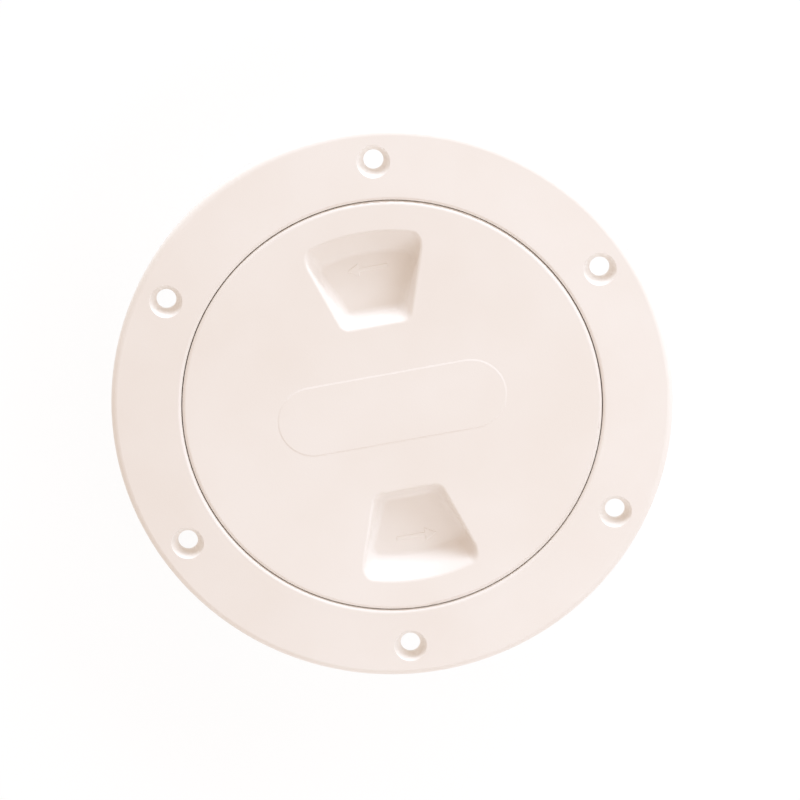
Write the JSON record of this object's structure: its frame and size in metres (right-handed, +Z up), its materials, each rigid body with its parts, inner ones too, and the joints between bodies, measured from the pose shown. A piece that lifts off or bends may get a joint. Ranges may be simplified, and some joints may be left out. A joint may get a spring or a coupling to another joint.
{
  "type": "deck hatch",
  "caption": "Round screw-out deck hatch: a flanged ring with countersunk screw holes, a flush threaded lid with finger wells, and a rubber seal ring.",
  "frame": {"origin": "centre of the screw circle, on the underside of the flange where it beds on the deck", "axes": "+Z up out of the deck through the middle of the lid, +Y through a screw hole"},
  "size_m": [0.143, 0.143, 0.0243],
  "materials": {
    "ring_plastic": "satin off-white moulded plastic",
    "lid_plastic": "satin off-white moulded plastic",
    "seal_rubber": "matt black rubber"
  },
  "bodies": {
    "ring": {"deck_ring": "ring_plastic"},
    "seal": {"lid_seal_ring": "seal_rubber"},
    "lid": {"screw_out_lid": "lid_plastic"}
  },
  "joints": [
    {"name": "lid_lift", "type": "slide", "parent": "ring", "child": "seal", "axis": [0, 0, 1], "range_m": [0, 0.0115]},
    {"name": "lid_turn", "type": "hinge", "parent": "seal", "child": "lid", "pos_m": [0, 0, 0], "axis": [0, 0, 1], "range_deg": [0, 828]}
  ],
  "couplings": [
    {"joint": "lid_lift", "follows": "lid_turn", "m_per_rad": 0.00079577}
  ]
}
